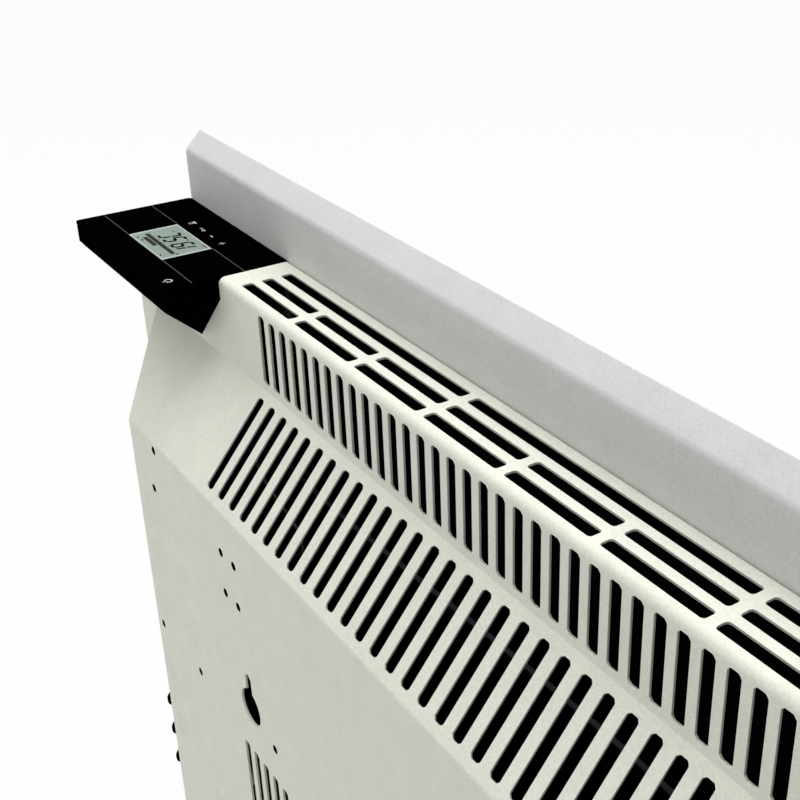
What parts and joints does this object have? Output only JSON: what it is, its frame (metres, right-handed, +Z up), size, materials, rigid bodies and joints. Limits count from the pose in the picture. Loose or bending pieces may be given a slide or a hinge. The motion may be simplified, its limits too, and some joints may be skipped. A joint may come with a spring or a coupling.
{
  "type": "wall panel convector heater",
  "caption": "Wall panel convector heater: flat folded front panel, perforated cream rear casing with a sloping outlet grille, and a black touch controller cassette at one end.",
  "frame": {"origin": "middle of the flat rear face that lies against the wall, 9 mm above the centres of the round ends of the keyholes", "axes": "+Z up, +Y towards the wall, so the front panel faces -Y; +X along the heater's length towards the controller end, which is on the right seen from the front"},
  "size_m": [0.5422, 0.0734, 0.4],
  "materials": {
    "casing_powder": "fine-textured cream powder coat on folded sheet steel",
    "panel_powder": "light grey-white powder coat on folded sheet steel",
    "gloss_black": "high-gloss black moulded plastic",
    "matt_black": "fine-textured black moulded plastic",
    "lcd_window": "clear display window",
    "lcd_face": "grey-green reflective display cell",
    "aluminium": "extruded, natural finish",
    "zinc_steel": "zinc-plated steel",
    "dark_steel": "matt black heat-resistant coat",
    "board": "green circuit board laminate",
    "ceramic": "unglazed technical ceramic",
    "grey_plastic": "grey moulded plastic",
    "lead_brown": "brown silicone insulation",
    "lead_blue": "blue silicone insulation",
    "lead_green": "green and yellow silicone insulation"
  },
  "bodies": {
    "root": {"front_panel": "panel_powder", "rear_casing": "casing_powder", "controller_base": "matt_black", "controller_cover": "gloss_black", "touch_fascia": "gloss_black", "lcd_window": "lcd_window", "lcd_cell": "lcd_face", "touch_board": "board", "power_board": "board", "relay": "matt_black", "transformer": "dark_steel", "capacitor": "aluminium", "terminal_block": "grey_plastic", "switch_body": "matt_black", "heating_element": "aluminium", "element_bush_left": "ceramic", "element_bush_right": "ceramic", "element_bracket_left": "zinc_steel", "element_bracket_right": "zinc_steel", "bracket_screw_1": "zinc_steel", "bracket_screw_2": "zinc_steel", "bracket_screw_3": "zinc_steel", "bracket_screw_4": "zinc_steel", "heat_shield": "dark_steel", "cassette_heat_guard": "zinc_steel", "panel_clip_1": "zinc_steel", "panel_clip_2": "zinc_steel", "panel_clip_3": "zinc_steel", "panel_clip_4": "zinc_steel", "panel_clip_5": "zinc_steel", "panel_clip_6": "zinc_steel", "cutout_bracket": "zinc_steel", "thermal_cutout": "matt_black", "sensor_holder": "grey_plastic", "temperature_sensor": "matt_black", "cord_gland": "matt_black", "gland_nut": "matt_black", "earth_stud": "zinc_steel", "earth_nut": "zinc_steel", "cord_clip_1": "matt_black", "cord_clip_2": "matt_black", "cord_clip_3": "matt_black", "live_lead": "lead_brown", "cutout_lead": "lead_brown", "neutral_lead": "lead_blue", "earth_lead": "lead_green", "sensor_lead": "matt_black"},
    "rocker": {"switch_rocker": "gloss_black"}
  },
  "joints": [
    {"name": "switch_rock", "type": "hinge", "parent": "root", "child": "rocker", "pos_m": [0.26065, -0.0478, 0.1362], "axis": [0, 0, 1], "range_deg": [0, 15]}
  ]
}
